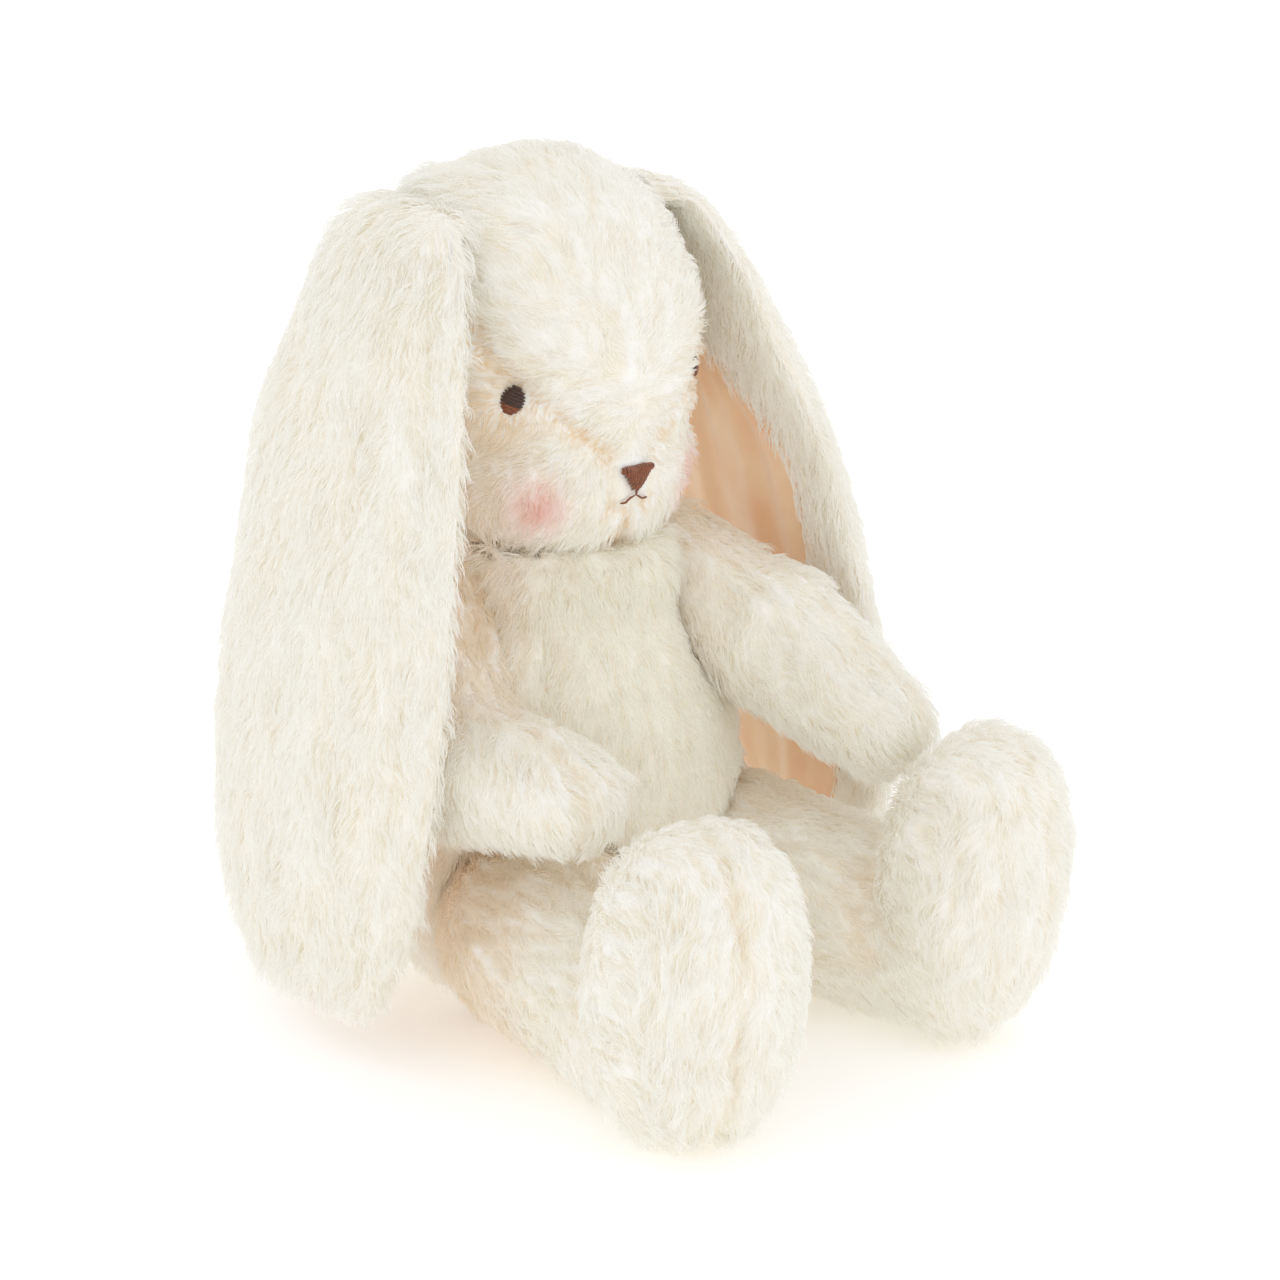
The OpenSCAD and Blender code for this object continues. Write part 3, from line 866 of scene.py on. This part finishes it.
def head_length(p, n):
    """Shorter hairs on the face and along its seams, longer at the near ear's root and under the chin."""
    front = step(p[:, 1], nose_at[1] + 60 * mm, nose_at[1] + 25 * mm)
    root = joint["ear_left_swing"]
    near = bell(np.abs(p) * [1, 0, 0] + p * [0, 1, 1], root - [6 * mm, 8 * mm, 0], 20 * mm)
    under = step(p[:, 2], nose_at[2] - 14 * mm, nose_at[2] - 28 * mm)
    crease = np.array([seam_value(q) for q in p.tolist()])
    size = FULL_PILE - 3.0 * mm * front + 4 * mm * near * (p[:, 0] < 0) + 4 * mm * under
    return size * (0.3 + 0.7 * face_clear(p)) * (1 - 0.55 * crease)


fur("fur_head", head, "head", comb_head, head_length, 0.85, fur_cream, 104, lean=54, hold=0.4, warm=head_painted_shade,
    where=lambda p, n: (face_clear(p) > 0.02) * 1.0)

# embroidered eyes, nose and mouth: satin stitches laid side by side on the skin
for s, e in eyes.items():
    hit = head_tree.find_nearest(Vector(e))
    e, out = np.array(hit[0]), np.array(hit[1])
    across = unit(np.cross([0, 0, 1], out) * (1 if s == "left" else -1))
    up = np.cross(out, across) * (1 if s == "left" else -1)
    up = up if up[2] > 0 else -up
    slant = unit(across * 0.93 + up * 0.37)
    rise = unit(up * 0.93 - across * 0.37)
    paths, picks = [], []
    for i in range(EYE_STITCHES):
        h = (i - EYE_STITCHES // 2) / 4.4
        half = math.sqrt(1 - h * h) * 3.5 * mm
        mid = e + rise * h * 4.3 * mm
        paths.append([mid + slant * half * q + out * (1.2 - 1.1 * abs(q) ** 4 - 0.9 * h ** 4) * mm
                      for q in np.linspace(-1, 1, 9)])
        # painted highlight: the three lower stitches take the lighter brown thread
        picks.append(1 if i <= 2 else 0)
    eye = threads("eye_%s_stitches" % s, paths, 0.62 * mm, dark_brown, picks, (brown,))
    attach(eye, "head")
    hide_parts("eye_" + s)

w, high = (nose_hi[0] - nose_lo[0]) / 2, nose_hi[2] - nose_lo[2]
nose_dome = np.array([0.5, 1.5, 2.0, 2.2, 2.2, 2.1, 1.9, 1.4, 0.5]) * mm
paths = []
for i in range(NOSE_STITCHES):
    x = (i - NOSE_STITCHES // 2) / (NOSE_STITCHES // 2)
    top = nose_hi[2] - 0.6 * mm * abs(x) ** 3 - 0.4 * mm * (1 - abs(x))
    low = nose_lo[2] + (high * 0.93) * abs(x) ** 1.1
    low = min(low, top - 1.6 * mm)
    paths.append([on_surface(head_tree, [x * w * 0.94, nose_at[1], z], lift)
                  for z, lift in zip(np.linspace(top, low, len(nose_dome)), nose_dome)])
nose = threads("nose_stitches", paths, 0.6 * mm, brown)
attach(nose, "head")
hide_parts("nose")

mouth_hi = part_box("mouth_stitch")[1]
mouth_lift, mouth_sag = 0.9 * mm, 0.6 * mm
fork = np.array([0, nose_at[1], nose_lo[2] - 1.6 * mm])
first = on_surface(head_tree, [0, nose_at[1], nose_lo[2] + 1 * mm], 1.2 * mm)
last = on_surface(head_tree, fork, mouth_lift)
paths = [[first + (last - first) * q for q in np.linspace(0, 1, 5)]]
for side in (-1, 1):
    end = np.array([side * (mouth_hi[0] + 0.5 * mm), nose_at[1], fork[2] - 3.6 * mm])
    line = [fork + (end - fork) * q + np.array([0, 0, -mouth_sag * math.sin(q * 3.14)])
            for q in np.linspace(0, 1, 8)]
    paths.append([on_surface(head_tree, p, mouth_lift) for p in line])
mouth = threads("mouth_thread", paths, 0.34 * mm, brown)
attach(mouth, "head")
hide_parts("mouth_stitch")


# ---------------------------------------------------------------- limbs

def limb(name, side, chain, seed, pile=FULL_PILE, extra=None, joint_shade=0.5):
    """One arm or leg: a stuffed skin over its two panels, with a seam round it and fur combed along chain.

    extra moves the skin's points before the seam is drawn in; joint_shade is how strongly painted shade tints
    the hairs near the joint."""
    part = "%s_%%s_%s" % (name, side)
    panels = [part % "outer", part % "inner"]
    o = stuffed("%s_%s_skin" % (name, side), panels + [part % "stuffing"], shrink=2.2 * mm)
    if extra:
        put(o, extra(points(o)))
    co, nor = points(o), normals(o)
    seams = seam_depth(co, panels, 1.9 * mm)
    a, b = np.array(chain[0]), np.array(chain[1])
    fold = np.zeros(len(co))
    if name == "leg":
        # the crease over the ankle
        along = (co - a) @ unit(b - a)
        ankle = np.array([np.linalg.norm(b - a) - 30 * mm])
        fold = bell(along[:, None], ankle, 7 * mm) * step(nor[:, 2], -0.4, 0.2)
    put(o, co - nor * (seams * (1.3 if name == "leg" else 1.0) * mm + fold * 2.6 * mm)[:, None])
    marked = np.maximum(seams, fold)
    at = finder(points(o))

    def mark(p):
        return marked[[at.find(q)[1] for q in p.tolist()]]

    def comb(p, n):
        if name == "leg":
            foot = step(-p[:, 1], -b[1] - 5 * mm, -b[1] + 12 * mm)[:, None]
            lay = unit(b - a) * (1 - foot) + (down * 0.8 + unit((p - b) * [1, 0.2, 1]) * 0.5) * foot
            return flat_to(lay + down * 0.3, n)
        return flat_to(unit(b - a) + down * 0.55, n)

    comb_locks(o, comb, LOCK_RELIEF, seed)
    above_floor(o)
    o.data.materials.append(skin_cream)
    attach(o, "%s_%s" % (name, side))
    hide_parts(*panels, part % "stuffing")
    # painted shade tints the hairs along the seams, over the ankle crease and round the joint
    fur("fur_%s_%s" % (name, side), o, "%s_%s" % (name, side), comb,
        lambda p, n: pile * (1 - 0.45 * mark(p)), 0.8, fur_cream, seed + 200,
        warm=lambda p: np.maximum(0.3 * mark(p), joint_shade * bell(p, a, 32 * mm)))


for side, s in (("left", 1), ("right", -1)):
    lo, hi = (np.array(v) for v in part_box("arm_outer_" + side))
    sh = joint["arm_%s_lift" % side]

    def slim(p):
        """The upper arm drawn in towards a line that runs down, forwards and outwards from the shoulder."""
        w = step(p[:, 2], sh[2] - 28 * mm, sh[2] - 12 * mm)[:, None]
        core = sh + np.array([s * 11, -14, -16]) * mm * np.clip((sh[2] - p[:, 2:]) / (16 * mm), -0.5, 2)
        core[:, 2] = p[:, 2]
        return p + ((core - p) * 0.22 + np.array([s * 1.0, 3.5, 0]) * mm) * w

    def raised(p):
        """The top of the shoulder lifted."""
        return p + np.array([0, 0, 1]) * (bell(p, sh + np.array([5, -4, 16]) * mm, 23 * mm) * 8 * mm)[:, None]

    limb("arm", side, (sh, [(lo[0] + hi[0]) / 2, lo[1] + 18 * mm, lo[2] + 18 * mm]), seed=21 + s,
         extra=slim if s < 0 else raised)
    lo, hi = (np.array(v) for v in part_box("leg_outer_" + side))
    hip = joint["leg_%s_swing" % side]
    # the near (right) leg takes more painted shade at the hip than the far leg
    limb("leg", side, (hip, [hip[0] + s * 14 * mm, lo[1] + 22 * mm, 50 * mm]), seed=31 + s,
         pile=8 * mm, joint_shade=0.8 if s < 0 else 0.5)


# ---------------------------------------------------------------- ears

def ear_frame(s, t):
    """Middle line of an ear, its outward direction, its half width and how far the tip narrows it.

    t runs from 0 at the root to 1 at the tip; s is 1 for the left ear and -1 for the right. The line is a
    smooth curve with four control points; the right ear's second one is higher and further out."""
    root = joint["ear_left_swing" if s > 0 else "ear_right_swing"]
    p = np.array([[0, 0], [15, -3] if s > 0 else [21.5, 4.3], [53.5, -126.7], [59, -237.7]]) * mm
    t = np.asarray(t, float)[:, None]
    xz = (1 - t) ** 3 * p[0] + 3 * t * (1 - t) ** 2 * p[1] + 3 * t * t * (1 - t) * p[2] + t ** 3 * p[3]
    d = 3 * (1 - t) ** 2 * (p[1] - p[0]) + 6 * t * (1 - t) * (p[2] - p[1]) + 3 * t * t * (p[3] - p[2])
    d = unit(d)
    t = t[:, 0]
    mid = np.stack([root[0] + s * xz[:, 0], root[1] - 19 * mm * t ** 0.8, root[2] + xz[:, 1]], 1)
    out = np.stack([-d[:, 1] * s, np.zeros(len(t)), d[:, 0]], 1)
    tip = np.sqrt(np.maximum(0.0, 1 - np.clip((t - 0.75) / 0.25, 0, 1) ** 2.8))
    half = (18 + 31 * np.sin(np.pi / 2 * np.minimum(1, t / 0.75)) ** 1.2) * mm
    return mid, out, half, tip


def ear_cup(v, t):
    """How far the ear curls in towards the head at its edges."""
    return -(5.0 * mm * np.abs(v) ** 3 * step(t, 0.05, 0.4))


def lining_edges(t, wide):
    """Where the lining ends towards the back and the front of an ear: it opens below the gathered root."""
    shut = 1 - step(t, 0.32, 0.54)
    behind = -(wide - 6 * mm) * (1 - shut)
    ahead = (wide - 18 * mm) * (1 - shut) - 10 * mm * shut
    return np.minimum(behind, -0.5 * mm) - 10 * mm * shut, np.maximum(ahead, -9.5 * mm * shut + 0.5 * mm)


def ear_wave(v, t, s):
    """Slow waves in the cloth of an ear, growing from the root."""
    q = np.stack([v * 0.05, t * 0.24, np.full_like(t, s * 0.1)], 1)
    return 1.3 * mm * waves(q, 70 * mm, 5) * step(t, 0.0, 0.25)


for side, s in (("left", 1), ("right", -1)):
    # rows run from the root to the tip and lie closer there; columns run round the outer and inner face
    rows, cols = 110, 72
    t = np.sin(np.linspace(0, math.pi / 2, rows)) * 0.968
    a = np.linspace(0, 2 * math.pi, cols, endpoint=False)
    T, A = (g.ravel() for g in np.meshgrid(t, a, indexing="ij"))
    mid, out, half, tip = ear_frame(s, T)
    v = np.sign(np.cos(A)) * np.abs(np.cos(A)) ** 0.8
    wide = half * tip
    swell = np.minimum(1, 0.4 + (1.7 if s > 0 else 4) * T)
    thick = np.where(np.sin(A) > 0, 8.6 * mm, 1.2 * mm) * swell * np.maximum(tip, 0.12)
    h = np.sign(np.sin(A)) * np.abs(np.sin(A)) ** 0.75 * thick + 0.4 * mm
    co = mid + out * (h + ear_cup(v, T) * tip + ear_wave(v, T, s))[:, None]
    # the front edge rounds off sooner than the back edge, and the ear widens below the root at the back
    fore = half * np.sqrt(np.maximum(0.0, 1 - np.clip((T - 0.64) / 0.36, 0, 1) ** 2.4))
    grow = (np.where(v < 0, 11.0, 4.0 if s > 0 else -2.0)) * mm * step(T, 0.05, 0.5) * tip
    grow += (v > 0) * (s > 0) * 5 * mm * step(T, 0.68, 0.88) * tip
    co[:, 1] -= v * (np.where(v > 0, np.minimum(wide, fore), wide) + grow)
    # the sewn root hugs the side of the head
    for i in np.flatnonzero(T < 0.1):
        hit = seat_tree.find_nearest(Vector(co[i]))
        hug = np.array(hit[0]) + np.array(hit[1]) * (2.2 + 3.2 * np.sin(A[i])) * mm
        k = 1 - step(T[i], 0.0, 0.1)
        co[i] = co[i] * (1 - k) + hug * k
    faces = [[i * cols + j, i * cols + (j + 1) % cols, (i + 1) * cols + (j + 1) % cols, (i + 1) * cols + j]
             for i in range(rows - 1) for j in range(cols)]
    cap0, cap1 = list(range(cols)), list(range((rows - 1) * cols, rows * cols))
    faces += [cap0[::-1], cap1]
    faces = [f[::-1] for f in faces] if s > 0 else faces
    ear = make("ear_%s_outer" % side, co, faces)
    inside = np.sin(A) <= 0

    def comb_ear(p, n):
        spread = (p[:, 1:2] - (joint["ear_left_swing"][1] - 14 * mm)) * np.array([[0, 6.0, 0]])
        return flat_to(np.tile([0.25 * s, -0.1, -1.0], (len(p), 1)) + spread, n)

    relax(ear, 2, 0.4)
    comb_locks(ear, comb_ear, LOCK_RELIEF * np.where(inside, 0.2, 1.0), 41 + s, rounds=9)
    ear.data.materials.append(skin_cream)
    body_name = "ear_" + side
    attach(ear, body_name)
    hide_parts("ear_outer_" + side)

    # the ear is hand sewn to the head all round its root
    paths = []
    for j in range(0, cols, 4):
        foot, up = co[j], co[6 * cols + j]
        lie = np.array(seat_tree.find_nearest(Vector(foot))[1])
        away = unit(foot - co[:cols].mean(0))
        bow = lie * 0.2 + away * 0.4
        paths.append([foot + away * 2.2 * mm * (1 - q) + (up - foot) * 0.8 * q
                      + bow * mm * math.sin(q * math.pi) for q in np.linspace(0, 1, 7)])
    sewn = threads("ear_%s_root_thread" % side, paths, 0.32 * mm, cotton)
    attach(sewn, "head")
    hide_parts("ear_root_stitch_" + side)

    # keep fur off the inner face, apart from a band along the edge
    tt = np.linspace(0, 1, 400)
    m0, o0, h0, tip0 = ear_frame(s, tt)
    mid_tree = finder(m0)

    def ear_where(p, n):
        i = np.array([mid_tree.find([q[0], m0[0][1], q[2]])[1] for q in p.tolist()])
        i = np.array([mid_tree.find([q[0], m0[k][1], q[2]])[1] for q, k in zip(p.tolist(), i)])
        face = (n * o0[i]).sum(1)
        behind, ahead = lining_edges(tt[i], h0[i] * tip0[i])
        at = m0[i][:, 1] - p[:, 1]
        lined = (at > behind + 2 * mm) & (at < ahead - 2 * mm) & (tt[i] > 0.27) & (tt[i] < 0.955)
        return np.where((face > -0.15) | ~lined, 1.0, 0.0)

    # the pile near the root is shorter on the left ear and longer on the right
    fur("fur_ear_" + side, ear, body_name, comb_ear,
        lambda p, n: 8.5 * mm - 2.5 * s * mm * step(p[:, 2], 205 * mm, 240 * mm), 0.95, fur_cream, 141 + s,
        lean=40, swirl=0.6, where=ear_where)

    # the satin lining: a thin sheet with soft lengthwise folds, sewn in behind the rim of pile
    rows2, cols2 = 90, 60
    t = 0.26 + np.sin(np.linspace(0, math.pi / 2, rows2)) * 0.71
    v = np.linspace(-1, 1, cols2)
    T, V = (g.ravel() for g in np.meshgrid(t, v, indexing="ij"))
    mid, out, half, tip = ear_frame(s, T)
    behind, ahead = lining_edges(T, half * tip)
    place = (behind * (1 - V) + ahead * (1 + V)) / 2
    share = place / np.maximum(half * tip, 1 * mm)
    edge = (1 - np.abs(V) ** 4) * step(1 - T, 0.0, 0.12)
    folds = (np.sin(V * 9.5 + 1.8 * np.sin(T * 4.2 + s)) * 0.8 + np.sin(V * 17 + 3.0 * T) * 0.45) * mm * 1.1
    lift = ear_cup(share, T) * tip + ear_wave(share, T, s) - 1.35 * mm - edge * (1.1 * mm + folds)
    top = mid + out * lift[:, None]
    top[:, 1] -= place
    low = top + out * (0.7 * mm)
    m = rows2 * cols2
    faces = []
    for i in range(rows2 - 1):
        for j in range(cols2 - 1):
            q = [i * cols2 + j, (i + 1) * cols2 + j, (i + 1) * cols2 + j + 1, i * cols2 + j + 1]
            faces.append(q)
            faces.append([k + m for k in q[::-1]])
    ring = (list(range(cols2)) + [i * cols2 + cols2 - 1 for i in range(1, rows2)]
            + [(rows2 - 1) * cols2 + j for j in range(cols2 - 2, -1, -1)]
            + [i * cols2 for i in range(rows2 - 2, 0, -1)])
    for i in range(len(ring)):
        x, y = ring[i], ring[(i + 1) % len(ring)]
        faces.append([x, y, y + m, x + m])
    if s < 0:
        faces = [f[::-1] for f in faces]
    lining = make("ear_%s_lining" % side, np.vstack([top, low]), faces)
    lining.data.materials.append(satin)
    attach(lining, body_name)
    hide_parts("ear_lining_" + side)
